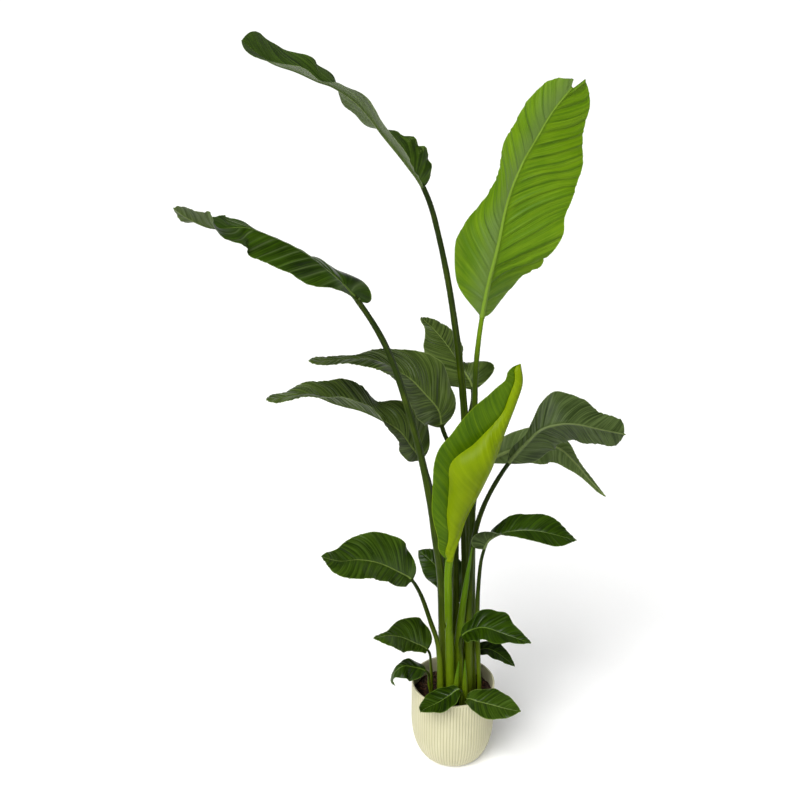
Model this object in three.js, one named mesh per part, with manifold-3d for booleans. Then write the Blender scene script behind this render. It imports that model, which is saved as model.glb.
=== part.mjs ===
// Potted bird of paradise (Strelitzia nicolai) in a round ribbed pot.
// Millimetres, +Z up, the origin on the floor at the middle of the pot's underside.
// X runs to the right and Y away from the front.
//
// Every leaf has two bodies: the stalk (petiole), which stands in a plain hole in the soil,
// and the blade with its midrib, which starts at the stalk's upper end.
import * as THREE from 'three';
import Module from 'manifold-3d';

const wasm = await Module();
wasm.setup();

// ---------------------------------------------------------------- driving dimensions
const POT_RADIUS = 110;          // over the crests of the ribs
const POT_HEIGHT = 218;
const POT_WALL = 4.5;
const POT_FLOOR = 8;
const FOOT_RADIUS = 64;          // the flat underside
const SHOULDER = 108;            // below this height the wall turns in to the foot
const RIB_COUNT = 84;
const RIB_DEPTH = 1.3;
const LIP_HEIGHT = 4;            // the plain band above the ribs
const SOIL_LEVEL = 178;
const SOIL_HEAP = 9;             // how much higher the soil lies at the right than at the left
const CLEARANCE = 0.35;          // between neighbouring bodies
const BLADE_THICKNESS = 1.1;
const NOTCH_HALF = 12;           // how far from the midrib a tip's notch opens
const STALK_ROOT = 125;          // height at which the stalks end inside the soil

// The leaves' turn angles are told from here, the place they are seen from at the front.
const FRONT_POINT = [-140, -1900, 1605];

// ---------------------------------------------------------------- the leaves
// stalk   points of the petiole's middle line, from the soil up
// r       the petiole's radius at the soil and at the blade
// rib     points of the blade's midrib, from the petiole to the tip
// wl, wr  widths of the left and right half at even steps along the rib
// tl, tr  degrees the halves are turned from facing the front point:
//         0 shows the upper face, 90 and -90 stand edge-on, 180 shows the underside
// cl, cr  degrees each half curls up between the rib and the margin
// wave    height of the margin's waves; wavel and waver scale it for one half
// ends    shares of the length over which the base and the tip are rounded off
const LEAVES = {
  high_left: {
    stalk: [[38, 28, 125], [40, 25, 560], [16, 25, 940], [-15, 20, 1190], [-52, 5, 1375], [-90, -10, 1490]],
    r: [13, 6],
    rib: [[-90, -10, 1490], [-130, -20, 1545], [-175, -30, 1598], [-225, -45, 1658], [-275, -60, 1692],
      [-310, -75, 1704], [-350, -90, 1721], [-400, -105, 1738], [-451, -120, 1776]],
    wl: [30, 55, 70, 75, 72, 68, 62, 58, 68, 80, 80, 76, 60],
    tl: [-95, -98, -103, -106, -105, -111, -113, -106, -98, -102, -100, -90, -84],
    wr: [50, 66, 72, 64, 60, 58, 52, 62, 74, 78, 79, 80, 80],
    tr: [-38, -36, -45, -62, -98, -107, -106, -65, -54, -58, -58, -59, -58],
    cl: -10, cr: -10, wave: 1.2, waves: 7, ends: [0.08, 0.055], waver: 1,
  },
  high_right: {
    stalk: [[54, 2, 125], [43, 0, 460], [38, 2, 735], [39, 20, 965], [41, 31, 1080], [52, 40, 1190]],
    r: [12, 5.5],
    rib: [[52, 40, 1190], [65, 45, 1265], [85, 50, 1355], [105, 60, 1455], [135, 70, 1535],
      [170, 85, 1595], [205, 105, 1650], [247, 118, 1700]],
    wl: [60, 88, 112, 145, 141, 142, 132, 101, 50],
    tl: [125, 130, 160, 170, 170, 170, 168, 165, 160],
    wr: [15, 88, 114, 104, 97, 97, 94, 85, 60],
    tr: [195, 205, 205, 209, 236, 235, 223, 219, 210],
    cl: 8, cr: 8, wave: 2, waves: 5, ends: [0.1, 0.042], notchl: 38, notchr: 20,
  },
  upper_left: {
    stalk: [[-25, -5, 125], [-32, -18, 470], [-50, -45, 640], [-81, -84, 840], [-130, -118, 1040],
      [-173, -130, 1165], [-233, -130, 1265]],
    r: [15, 6],
    rib: [[-233, -130, 1265], [-258, -145, 1298], [-290, -160, 1333], [-340, -175, 1374],
      [-395, -190, 1404], [-445, -205, 1424], [-480, -220, 1425], [-510, -225, 1425], [-535, -230, 1434],
      [-557, -240, 1448], [-577, -245, 1465]],
    wl: [18, 22, 44, 66, 74, 74, 75, 74, 64, 62, 58, 44, 36],
    tl: [-85, -75, -66, -55, -51, -51, -50, -49, -49, -74, -122, -124, -120],
    wr: [34, 54, 52, 66, 75, 80, 80, 70, 50, 58, 46, 38, 32],
    tr: [-38, -42, -72, -78, -93, -97, -97, -94, -71, -57, -62, -100, -98],
    cl: -10, cr: -10, wave: 1.5, waves: 6, ends: [0.06, 0.05], lober: 60,
  },
  rear: {
    stalk: [[38, 60, 125], [31, 54, 430], [20, 70, 705], [20, 90, 865], [40, 100, 995]],
    r: [10, 5],
    rib: [[40, 100, 995], [15, 140, 1040], [-15, 180, 1080], [-50, 225, 1115], [-85, 270, 1140]],
    wl: [30, 60, 74, 78, 74, 60, 34, 15, 10],
    tl: [-20, -28, -35, -38, -40, -40, -40, -40, -40],
    wr: [16, 73, 60, 50, 46, 47, 42, 32, 20],
    tr: [-2, -9, -24, -76, -46, -38, -38, -38, -38],
    cl: -10, cr: -10, wave: 2, waves: 4, ends: [0.12, 0.1], lober: 8,
  },
  mid_left: {
    stalk: [[12, 32, 125], [5, 32, 440], [-3, 25, 730], [-15, 10, 855], [-40, 0, 930]],
    r: [11, 5],
    rib: [[-40, 0, 930], [-50, -5, 975], [-80, -10, 1015], [-115, -20, 1055], [-155, -30, 1085],
      [-200, -45, 1110], [-250, -60, 1115], [-295, -70, 1115], [-345, -80, 1115]],
    wl: [30, 65, 84, 88, 62, 50, 42, 34, 24],
    tl: [-20, -50, -58, -66, -72, -70, -75, -78, -78],
    wr: [30, 73, 104, 100, 92, 75, 50, 38, 28],
    tr: [-25, -35, -36, -43, -64, -72, -79, -68, -70],
    cl: -10, cr: -10, wave: 3, waves: 4, ends: [0.12, 0.06],
  },
  outer_left: {
    stalk: [[-13, 27, 125], [-20, 20, 385], [-45, 10, 625], [-65, 5, 765], [-90, 0, 845]],
    r: [10, 5],
    rib: [[-90, 0, 845], [-115, -10, 886], [-142, -15, 925], [-180, -30, 957], [-230, -40, 985],
      [-290, -50, 1005], [-345, -60, 1030], [-390, -70, 1030], [-445, -80, 1025]],
    wl: [18, 52, 55, 62, 68, 70, 55, 40, 25],
    tl: [-30, -62, -68, -90, -108, -110, -95, -80, -75],
    wr: [60, 92, 78, 77, 92, 84, 66, 58, 34],
    tr: [-20, -34, -28, -60, -43, -41, -56, -70, -72],
    cl: -10, cr: -10, wave: 2.5, waves: 5, ends: [0.12, 0.06],
  },
  mid_right: {
    stalk: [[42, -24, 125], [36, -24, 460], [40, -22, 620], [64, -25, 735], [120, -30, 850]],
    r: [11, 5],
    rib: [[120, -30, 850], [160, -30, 900], [195, -30, 935], [240, -35, 950], [280, -40, 950],
      [330, -45, 940], [386, -50, 930]],
    wl: [30, 52, 72, 80, 85, 85, 85, 84, 80, 74, 66, 56, 42],
    tl: [145, 138, 132, 133, 135, 128, 122, 121, 121, 123, 126, 128, 130],
    wr: [15, 20, 22, 20, 30, 64, 83, 82, 76, 63, 54, 48, 46],
    tr: [200, 205, 210, 208, 205, 200, 198, 207, 215, 220, 222, 222, 220],
    cl: 0, cr: 0, wave: 2.5, waves: 5, ends: [0.1, 0.03],
  },
  rear_right: {
    stalk: [[60, 48, 125], [46, 48, 435], [45, 62, 600], [54, 75, 735], [85, 85, 805]],
    r: [10, 5],
    rib: [[85, 85, 805], [145, 90, 838], [205, 95, 853], [262, 95, 840], [306, 95, 801], [345, 90, 756],
      [387, 80, 713]],
    wl: [20, 37, 55, 53, 30, 13, 7],
    tl: [150, 150, 155, 155, 150, 145, 140],
    wr: [22, 42, 46, 40, 18, 12, 5],
    tr: [205, 205, 210, 215, 225, 235, 240],
    cl: -10, cr: -10, wave: 2, waves: 4, ends: [0.12, 0.08],
  },
  low_right: {
    stalk: [[72, -14, 125], [58, -20, 410], [58, -32, 550], [67, -40, 625]],
    r: [8, 4],
    rib: [[67, -40, 625], [76, -45, 651], [100, -50, 670], [140, -60, 685], [185, -70, 690],
      [230, -80, 685], [280, -90, 675]],
    wl: [8, 28, 44, 52, 52, 38, 8],
    tl: [120, 50, 32, 36, 30, 35, 50],
    wr: [36, 38, 22, 32, 48, 42, 8],
    tr: [190, 140, 70, 60, 60, 60, 60],
    cl: -10, cr: -10, wave: 2, waves: 3, ends: [0.12, 0.08], lober: 22,
  },
  low_left: {
    stalk: [[-35, -40, 125], [-40, -42, 325], [-63, -53, 425], [-112, -80, 562]],
    r: [10, 4],
    rib: [[-112, -80, 562], [-143, -100, 595], [-190, -120, 630], [-235, -140, 650], [-280, -165, 660],
      [-320, -190, 685]],
    wl: [22, 38, 50, 60, 50, 8],
    tl: [-30, -40, -50, -50, -45, -45],
    wr: [42, 72, 77, 62, 33, 8],
    tr: [-15, -14, -15, -16, -22, -35],
    cl: -10, cr: -10, wave: 3, waves: 4, ends: [0.12, 0.08],
  },
  rear_low: {
    stalk: [[8, 66, 125], [12, 70, 300], [15, 90, 395]],
    r: [8, 4],
    rib: [[15, 90, 395], [-15, 110, 455], [-50, 135, 490], [-90, 160, 515]],
    wl: [26, 34, 42, 8],
    tl: [-20],
    wr: [30, 65, 60, 8],
    tr: [-20],
    cl: -10, cr: -10, wave: 3, waves: 3, ends: [0.12, 0.08],
  },
  base_left: {
    stalk: [[-54, -2, 125], [-54, -6, 170], [-60, -22, 270], [-70, -45, 340]],
    r: [6, 3],
    rib: [[-70, -45, 340], [-105, -65, 375], [-140, -85, 405], [-175, -110, 425], [-205, -130, 430]],
    wl: [16, 24, 40, 52, 6],
    tl: [-40, -50, -50, -50, -50],
    wr: [40, 64, 50, 15, 6],
    tr: [-15, -12, -25, -35, -40],
    cl: -10, cr: -10, wave: 3, waves: 3, ends: [0.12, 0.08],
  },
  rim_left: {
    stalk: [[-56, -30, 125], [-58, -33, 180], [-66, -48, 240], [-75, -70, 295]],
    r: [5, 3],
    rib: [[-75, -70, 295], [-105, -75, 310], [-133, -85, 320], [-155, -90, 304], [-163, -95, 285],
      [-155, -95, 270]],
    wl: [14, 30, 38, 31, 12, 5],
    tl: [-20, -20, -20, -40, -60, -60],
    wr: [14, 24, 24, 13, 8, 5],
    tr: [-50, -45, -45, -45, -60, -60],
    cl: -10, cr: -10, wave: 2, waves: 3, ends: [0.12, 0.2],
  },
  base_right: {
    stalk: [[17, -42, 125], [17, -44, 235], [17, -50, 310], [15, -60, 390]],
    r: [7, 3.5],
    rib: [[15, -60, 390], [40, -75, 420], [70, -90, 435], [110, -115, 435], [145, -130, 430],
      [175, -150, 430]],
    wl: [10, 32, 54, 53, 25, 5],
    tl: [20, 25, 25, 25, 30, 40],
    wr: [22, 34, 46, 44, 22, 5],
    tr: [40, 45, 50, 55, 55, 50],
    cl: -10, cr: -10, wave: 3, waves: 4, ends: [0.12, 0.08],
  },
  rim_right: {
    stalk: [[61, 21, 125], [61, 21, 180], [60, 24, 240], [65, 30, 285]],
    r: [5, 3],
    rib: [[65, 30, 285], [90, 20, 300], [115, 10, 295], [140, 0, 280], [160, -15, 270]],
    wl: [14, 26, 30, 18, 4],
    tl: [30],
    wr: [14, 23, 25, 16, 4],
    tr: [50],
    cl: -10, cr: -10, wave: 2, waves: 3, ends: [0.12, 0.08],
  },
  front_left: {
    stalk: [[13, -82, 125], [14, -82, 190], [10, -85, 250]],
    r: [7, 3.5],
    rib: [[10, -85, 250], [-15, -95, 240], [-45, -110, 230], [-75, -125, 225], [-90, -140, 225]],
    wl: [20, 32, 35, 24, 5],
    tl: [-45],
    wr: [15, 30, 38, 28, 5],
    tr: [-30],
    cl: -10, cr: -10, wave: 2, waves: 3, ends: [0.12, 0.08],
  },
  front_right: {
    stalk: [[34, -86, 125], [34, -86, 170], [30, -92, 226]],
    r: [7, 3.5],
    rib: [[30, -92, 226], [58, -108, 231], [92, -128, 236], [127, -143, 236], [157, -158, 241]],
    wl: [24, 43, 47, 34, 5],
    tl: [30],
    wr: [24, 42, 45, 30, 5],
    tr: [75, 62, 45, 40, 40],
    cl: -10, cr: -10, wave: 2, waves: 3, ends: [0.12, 0.08],
  },
  young: {
    stalk: [[-5, -35, 125], [-12, -40, 300], [-20, -60, 490], [-20, -75, 615]],
    r: [12, 9],
    rib: [[-20, -75, 615], [-5, -80, 670], [12, -80, 730], [48, -80, 805], [78, -85, 880],
      [99, -80, 945], [124, -75, 1015], [137, -70, 1062], [132, -62, 1104]],
    wl: [28, 52, 90, 120, 130, 113, 89, 56, 32],
    tl: [-10, -15, -20, -20, -15, -15, -20, -25, -30],
    wr: [22, 33, 72, 112, 140, 82, 36, 32, 24],
    tr: [70],
    cl: 0, cr: 150, wave: 0, waves: 3, ends: [0.06, 0.03],
  },
};

// Pieces that are still rolled up: a middle line and the radius at even steps along it.
const SHOOTS = {
  spear: { line: [[8, -10, 125], [10, -14, 300], [16, -28, 430], [26, -45, 550], [35, -58, 640]],
    r: [10, 11.5, 12, 9.5, 6.5, 1] },
  shoot_left: { line: [[3, -62, 125], [4, -62, 190], [5, -65, 260], [9, -70, 325]], r: [7, 8, 8, 5.5, 1] },
  shoot_right: { line: [[27, -62, 125], [27, -62, 190], [26, -64, 260], [24, -66, 325]],
    r: [6, 7.5, 7.5, 5, 1] },
};

// ---------------------------------------------------------------- vectors and curves
const add = (a, b) => [a[0] + b[0], a[1] + b[1], a[2] + b[2]];
const sub = (a, b) => [a[0] - b[0], a[1] - b[1], a[2] - b[2]];
const mul = (a, k) => [a[0] * k, a[1] * k, a[2] * k];
const length = (a) => Math.hypot(a[0], a[1], a[2]);
const unit = (a) => mul(a, 1 / length(a));
const cross = (a, b) => [a[1] * b[2] - a[2] * b[1], a[2] * b[0] - a[0] * b[2], a[0] * b[1] - a[1] * b[0]];
const radians = (a) => a * Math.PI / 180;
const clamp = (x) => Math.min(1, Math.max(0, x));

// A smooth curve through evenly spaced values (numbers or points), x from 0 to 1.
// before and after stand in for the neighbours beyond its two ends.
function curve(values, x, before = null, after = null) {
  const isPoint = Array.isArray(values[0]);
  const v = isPoint ? values : values.map((n) => [n, 0, 0]);
  if (v.length === 1) return isPoint ? v[0] : v[0][0];
  const last = v.length - 1;
  const q = [before || sub(mul(v[0], 2), v[1]), ...v, after || sub(mul(v[last], 2), v[last - 1])];
  const t = x * last;
  const i = Math.min(Math.floor(t), last - 1);
  const s = t - i;
  const [a, b, c, d] = [q[i], q[i + 1], q[i + 2], q[i + 3]];
  const out = [0, 1, 2].map((k) => 0.5 * (2 * b[k] + (c[k] - a[k]) * s
    + (2 * a[k] - 5 * b[k] + 4 * c[k] - d[k]) * s * s + (3 * b[k] - a[k] - 3 * c[k] + d[k]) * s * s * s));
  return isPoint ? out : out[0];
}

// Points at even distances along the curve through the given points.
function evenly(points, count, before = null, after = null) {
  const fine = [];
  for (let i = 0; i <= 200; i++) fine.push(curve(points, i / 200, before, after));
  const run = [0];
  for (let i = 1; i < fine.length; i++) run.push(run[i - 1] + length(sub(fine[i], fine[i - 1])));
  const out = [];
  let k = 0;
  for (let i = 0; i <= count; i++) {
    const goal = run[200] * i / count;
    while (k < 199 && run[k + 1] < goal) k += 1;
    const share = clamp((goal - run[k]) / (run[k + 1] - run[k]));
    out.push(add(fine[k], mul(sub(fine[k + 1], fine[k]), share)));
  }
  return out;
}

// The direction in which a stalk runs on into its midrib.
function joint(leaf) {
  const a = leaf.stalk[leaf.stalk.length - 2];
  const b = leaf.rib[0];
  const c = leaf.rib[1];
  const along = unit(add(unit(sub(b, a)), unit(sub(c, b))));
  return {
    along,
    after: add(a, mul(along, 2 * length(sub(b, a)))),
    before: sub(c, mul(along, 2 * length(sub(c, b)))),
  };
}

// At each point: the direction along, to the side, and toward the front.
function frames(points) {
  return points.map((p, i) => {
    const along = unit(sub(points[Math.min(i + 1, points.length - 1)], points[Math.max(i - 1, 0)]));
    const side = unit(cross(along, sub(FRONT_POINT, p)));
    return { p, along, side, front: cross(side, along) };
  });
}

function turnFrame(frame, along) {
  frame.along = along;
  frame.side = unit(cross(along, sub(FRONT_POINT, frame.p)));
  frame.front = cross(frame.side, along);
}

// ---------------------------------------------------------------- bodies
// Turns the faces of a closed body outward and makes a manifold of it.
function body(positions, faces) {
  let volume = 0;
  for (const [a, b, c] of faces) {
    const n = cross(positions[b], positions[c]);
    volume += positions[a][0] * n[0] + positions[a][1] * n[1] + positions[a][2] * n[2];
  }
  const tris = volume < 0 ? faces.map(([a, b, c]) => [a, c, b]) : faces;
  return new wasm.Manifold(new wasm.Mesh({
    numProp: 3,
    vertProperties: new Float32Array(positions.flat()),
    triVerts: new Uint32Array(tris.flat()),
  }));
}

function mesh(name, manifold, color, roughness) {
  const m = manifold.getMesh();
  const geometry = new THREE.BufferGeometry();
  const xyz = new Float32Array(m.numVert * 3);
  for (let i = 0; i < m.numVert; i++) {
    for (let k = 0; k < 3; k++) xyz[i * 3 + k] = m.vertProperties[i * m.numProp + k];
  }
  geometry.setAttribute('position', new THREE.BufferAttribute(xyz, 3));
  geometry.setIndex(new THREE.BufferAttribute(new Uint32Array(m.triVerts), 1));
  geometry.computeVertexNormals();
  const out = new THREE.Mesh(geometry, new THREE.MeshStandardMaterial({ color, roughness }));
  out.name = name;
  return out;
}

// A closed body from rings with the same number of points, one after the other.
function fromRings(rings) {
  const n = rings[0].length;
  const positions = rings.flat();
  const faces = [];
  for (let i = 0; i < rings.length - 1; i++) {
    for (let j = 0; j < n; j++) {
      const a = i * n + j;
      const b = i * n + (j + 1) % n;
      faces.push([a, b, b + n], [a, b + n, a + n]);
    }
  }
  const end = (rings.length - 1) * n;
  for (let j = 1; j < n - 1; j++) {
    faces.push([0, j + 1, j], [end, end + j, end + j + 1]);
  }
  return body(positions, faces);
}

// A rod of changing radius; grow makes it thicker all round, for the holes in the soil.
function rod(points, radius, steps, sides, { after = null, grow = 0, sink = 0, shorten = 0 } = {}) {
  const run = frames(evenly(points, steps, null, after));
  if (after) turnFrame(run[steps], unit(sub(after, points[points.length - 2])));
  const rings = run.map(({ p, along, side, front }, i) => {
    const r = radius(i / steps) + grow;
    const shift = i === steps ? -shorten : (i === 0 ? -sink : 0);
    const centre = add(p, mul(along, shift));
    return Array.from({ length: sides }, (_, j) => {
      const a = 2 * Math.PI * j / sides;
      return add(centre, add(mul(side, r * Math.cos(a)), mul(front, r * Math.sin(a))));
    });
  });
  return fromRings(rings);
}

// The blade: an upper and a lower grid of points with the same columns, closed along the margin.
function blade(leaf, steps, columns) {
  const start = joint(leaf);
  const run = frames(evenly(leaf.rib, steps, start.before));
  turnFrame(run[0], start.along);
  const reach = Math.max(...leaf.wl, ...leaf.wr);
  const half = columns.length;
  const top = [];
  const low = [];
  for (let i = 0; i <= steps; i++) {
    const u = i / steps;
    const { p, along, side, front } = run[i];
    const x = clamp(u / leaf.ends[0]);
    const y = clamp((1 - u) / leaf.ends[1]);
    const round = Math.sqrt(1 - (1 - x) ** 2) * Math.sqrt(1 - (1 - y) ** 2);
    const ribRadius = 1.2 + (leaf.r[1] - 1.2) * (1 - u) ** 1.6;
    const turnLeft = radians(curve(leaf.tl, u));
    const turnRight = radians(curve(leaf.tr, u));
    const facing = (t) => add(mul(front, Math.cos(t)), mul(side, -Math.sin(t)));
    const up = unit(add(facing(turnLeft), facing(turnRight)));
    const rowTop = new Array(2 * half + 1);
    const rowLow = new Array(2 * half + 1);
    rowTop[half] = add(p, mul(up, ribRadius * 0.15));
    rowLow[half] = sub(p, mul(up, Math.max(ribRadius * 0.95, BLADE_THICKNESS)));
    for (const s of [1, -1]) {
      const width = Math.max(curve(s > 0 ? leaf.wr : leaf.wl, u) * round, ribRadius * 1.02);
      const turn = s > 0 ? turnRight : turnLeft;
      const curl = radians(s > 0 ? leaf.cr : leaf.cl) * s;
      const height = leaf.wave * ((s > 0 ? leaf.waver : leaf.wavel) ?? 1);
      const phase = s > 0 ? 1.7 : 0;
      const lobe = (s > 0 ? leaf.lober : leaf.lobel) ?? 0;
      const notch = (s > 0 ? leaf.notchr : leaf.notchl) ?? 0;
      const ripple = height * Math.sin(2 * Math.PI * leaf.waves * u + phase)
        * Math.min(1, width / (0.5 * reach));
      for (let k = 0; k < half; k++) {
        const v = Math.max(columns[k], Math.min(1, ribRadius / width));
        // the half is walked outward in short steps, turning as it goes
        const n = Math.max(1, Math.round(v * 24));
        let q = p;
        for (let m = 0; m < n; m++) {
          const angle = turn + curl * v * (m + 0.5) / n;
          const out = add(mul(side, Math.cos(angle)), mul(front, Math.sin(angle)));
          q = add(q, mul(out, s * width * v / n));
        }
        const normal = facing(turn + curl * v);
        const move = notch * Math.min(1, v * width / NOTCH_HALF) ** 1.5
          * Math.max(0, 1 - (1 - u) / 0.15) ** 2
          - lobe * v ** 2 * Math.max(0, 1 - u / 0.22) * round;
        q = add(q, add(mul(normal, ripple * v ** 2), mul(along, move)));
        rowTop[half + s * (k + 1)] = q;
        rowLow[half + s * (k + 1)] = sub(q, mul(normal, BLADE_THICKNESS));
      }
    }
    top.push(rowTop);
    low.push(rowLow);
  }
  return closeSheet(top, low);
}

function closeSheet(top, low) {
  const rows = top.length;
  const n = top[0].length;
  const positions = [...top.flat(), ...low.flat()];
  const T = (i, j) => i * n + j;
  const B = (i, j) => rows * n + i * n + j;
  const faces = [];
  for (let i = 0; i < rows - 1; i++) {
    for (let j = 0; j < n - 1; j++) {
      faces.push([T(i, j), T(i, j + 1), T(i + 1, j + 1)], [T(i, j), T(i + 1, j + 1), T(i + 1, j)]);
      faces.push([B(i, j), B(i + 1, j + 1), B(i, j + 1)], [B(i, j), B(i + 1, j), B(i + 1, j + 1)]);
    }
    faces.push([T(i, 0), T(i + 1, 0), B(i + 1, 0)], [T(i, 0), B(i + 1, 0), B(i, 0)]);
    faces.push([T(i, n - 1), B(i + 1, n - 1), T(i + 1, n - 1)]);
    faces.push([T(i, n - 1), B(i, n - 1), B(i + 1, n - 1)]);
  }
  for (const i of [0, rows - 1]) {
    for (let j = 0; j < n - 1; j++) {
      const quad = [[T(i, j), B(i, j), B(i, j + 1)], [T(i, j), B(i, j + 1), T(i, j + 1)]];
      faces.push(...(i === 0 ? quad : quad.map(([a, b, c]) => [a, c, b])));
    }
  }
  return body(positions, faces);
}

// ---------------------------------------------------------------- the pot and its filling
// Radius of the pot's outside over the crests at height z, from the flat foot to the straight wall.
function potRadius(z) {
  const t = clamp(z / SHOULDER);
  return FOOT_RADIUS + (POT_RADIUS - FOOT_RADIUS) * Math.sqrt(1 - (1 - t) ** 2);
}

function ring(count, z, radius) {
  return Array.from({ length: count }, (_, j) => {
    const a = 2 * Math.PI * j / count;
    const r = radius(j);
    return [r * Math.cos(a), r * Math.sin(a), z];
  });
}

function pot() {
  const count = RIB_COUNT * 2;
  const ribbed = (z, depth) => ring(count, z, (j) => potRadius(z) - (j % 2 ? depth : 0));
  const heights = [4, 18, 42, 72, SHOULDER];
  const rings = [ring(count, 0, () => FOOT_RADIUS), ...heights.map((z) => ribbed(z, RIB_DEPTH))];
  rings.push(ribbed(POT_HEIGHT - LIP_HEIGHT, RIB_DEPTH));
  rings.push(ribbed(POT_HEIGHT - LIP_HEIGHT + 0.8, 0));
  rings.push(ribbed(POT_HEIGHT - 1, 0));
  rings.push(ring(count, POT_HEIGHT, () => POT_RADIUS - 1));
  return fromRings(rings).subtract(cavity(0, POT_HEIGHT + 5));
}

// The space inside the pot, or a filling that keeps clear of its wall.
function cavity(gap, top) {
  const heights = [POT_FLOOR, 14, 30, 60, SHOULDER, top];
  return fromRings(heights.map((z, i) => ring(48, i === 0 ? z + gap : z,
    () => potRadius(Math.max(z - 3, 0.5)) - POT_WALL - gap)));
}

// Height of the soil's surface: heaped toward the right, with low lumps.
function soilHeight(x, y) {
  const heap = SOIL_HEAP * (0.5 + 0.5 * x / POT_RADIUS);
  const lumps = 1.6 * Math.sin(x * 0.11 + 1) * Math.cos(y * 0.13) + 1.2 * Math.sin(y * 0.21 - x * 0.07);
  return SOIL_LEVEL - 4 + heap + lumps;
}

function soil(holes) {
  const rings = [];
  const heights = [POT_FLOOR, 14, 30, 60, SHOULDER];
  for (const [i, z] of heights.entries()) {
    rings.push(ring(48, i === 0 ? z + CLEARANCE : z,
      () => potRadius(Math.max(z - 3, 0.5)) - POT_WALL - CLEARANCE));
  }
  const wall = POT_RADIUS - POT_WALL - CLEARANCE;
  for (const share of [1, 0.6, 0.05]) {
    rings.push(ring(48, 0, () => wall * share).map(([x, y]) => [x, y, soilHeight(x, y)]));
  }
  let out = fromRings(rings);
  for (const hole of holes) out = out.subtract(hole);
  return out;
}

// ---------------------------------------------------------------- assembly
const GREEN = 0x3f5c22;
const LIME = 0x7fa01f;
const STALK_GREEN = 0x4c5a1c;
const CREAM = 0xe4deb9;
const EARTH = 0x2b1c14;

const group = new THREE.Group();
group.name = 'potted_bird_of_paradise';
const holes = [];

for (const [name, leaf] of Object.entries(LEAVES)) {
  const fresh = name === 'high_right' || name === 'young';
  const large = Math.max(...leaf.wr) >= 75;
  const reach = leaf.stalk[leaf.stalk.length - 1][2] - STALK_ROOT;
  const steps = large ? Math.max(8, Math.round(reach / 120)) : 7;
  const sides = large ? 8 : 6;
  const radius = (u) => leaf.r[1] + (leaf.r[0] - leaf.r[1]) * (1 - u);
  const { after } = joint(leaf);
  const stalk = rod(leaf.stalk, radius, steps, sides, { after, shorten: CLEARANCE });
  group.add(mesh('stalk_' + name, stalk, fresh ? LIME : STALK_GREEN, 0.5));
  holes.push(rod(leaf.stalk, radius, steps, sides, { after, grow: CLEARANCE, sink: CLEARANCE }));
  const rolled = Math.abs(leaf.cr) > 90;
  const columns = rolled ? [0.05, 0.28, 0.52, 0.76, 1] : [0.05, 0.5, 1];
  const sheet = blade(leaf, large ? 24 : 11, columns);
  group.add(mesh('leaf_' + name, sheet, fresh ? LIME : GREEN, 0.4));
}

for (const [name, { line, r }] of Object.entries(SHOOTS)) {
  const radius = (u) => curve(r, u);
  group.add(mesh(name, rod(line, radius, 9, 8), LIME, 0.45));
  holes.push(rod(line, radius, 9, 8, { grow: CLEARANCE, sink: CLEARANCE }));
}

group.add(mesh('pot', pot(), CREAM, 0.5));
group.add(mesh('soil', soil(holes), EARTH, 0.95));

export default group;
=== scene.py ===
"""Looks of a potted bird of paradise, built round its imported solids.

Blades, stalks, pot and soil are rebuilt here as finer meshes of the same form. Lengths are
in millimetres until a mesh is made, and the frame is the model's own: +Z up, -Y the front."""

import math

import bpy
import numpy as np
from mathutils import Matrix, Vector


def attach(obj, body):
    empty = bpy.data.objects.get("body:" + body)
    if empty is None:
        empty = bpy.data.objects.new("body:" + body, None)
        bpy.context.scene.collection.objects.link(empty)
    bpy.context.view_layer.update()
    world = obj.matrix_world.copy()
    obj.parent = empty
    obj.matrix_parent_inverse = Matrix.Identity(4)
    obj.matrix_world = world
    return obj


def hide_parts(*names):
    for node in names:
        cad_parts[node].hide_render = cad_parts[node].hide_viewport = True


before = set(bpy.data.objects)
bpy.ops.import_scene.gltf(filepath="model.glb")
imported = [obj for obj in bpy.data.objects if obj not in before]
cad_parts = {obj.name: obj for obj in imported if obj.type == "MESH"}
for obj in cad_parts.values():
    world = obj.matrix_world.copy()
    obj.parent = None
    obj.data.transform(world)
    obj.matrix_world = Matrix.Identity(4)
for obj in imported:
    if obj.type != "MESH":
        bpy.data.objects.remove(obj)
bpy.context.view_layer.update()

MM = 0.001

# ---- driving dimensions
POT_RADIUS = 110.0        # over the crests of the ribs
POT_HEIGHT = 218.0
POT_WALL = 4.5
POT_FLOOR = 8.0
FOOT_RADIUS = 64.0
SHOULDER = 108.0          # below this height the wall turns in to the foot
RIB_COUNT = 84
RIB_DEPTH = 1.3
LIP_HEIGHT = 4.0
CLEARANCE = 0.35          # between the soil and the pot
SOIL_LEVEL = 178.0
SOIL_HEAP = 9.0
BARK_FLAKES = 2300
BLADE_THICKNESS = 0.55
NOTCH_HALF = 12.0         # how far from the midrib a tip's notch opens
FRONT_POINT = np.array([-140.0, -1900.0, 1605.0])   # the leaves' turns are told from here
SHEATH_START, SHEATH_FADE = 60.0, 260.0   # the foot's sheath ends over this stretch
CLUMP = np.array([12.0, -5.0, 0.0])   # the middle of the clump, which the petioles' channels face

# how fine the meshes are
ROW_STEP = 2.1            # between rows of a blade's mesh, along its midrib
STALK_STEP = 6            # between rings of a petiole's mesh
SAMPLES = 800             # places along a midrib at which a blade's measures are kept
RIB_COLUMNS = np.array([0, 0.35, 0.7, 1.0, 1.35])   # columns over the midrib, in its radii
LARGE_REACH = 70          # a half as wide as this makes a blade large
MARGIN_COLUMNS = (19, 13) # from the midrib's edge to the margin, in a large and a small blade
LINE_STEPS = 400          # along a petiole's middle line
STALK_SIDES = 36
SHOOT_STEPS, SHOOT_SIDES = 90, 40
RIB_POINTS = 12           # round the pot, to each rib
SOIL_SIDES = 120
CREASES = 60              # drawn for a half, more than the longest blade needs

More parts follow.
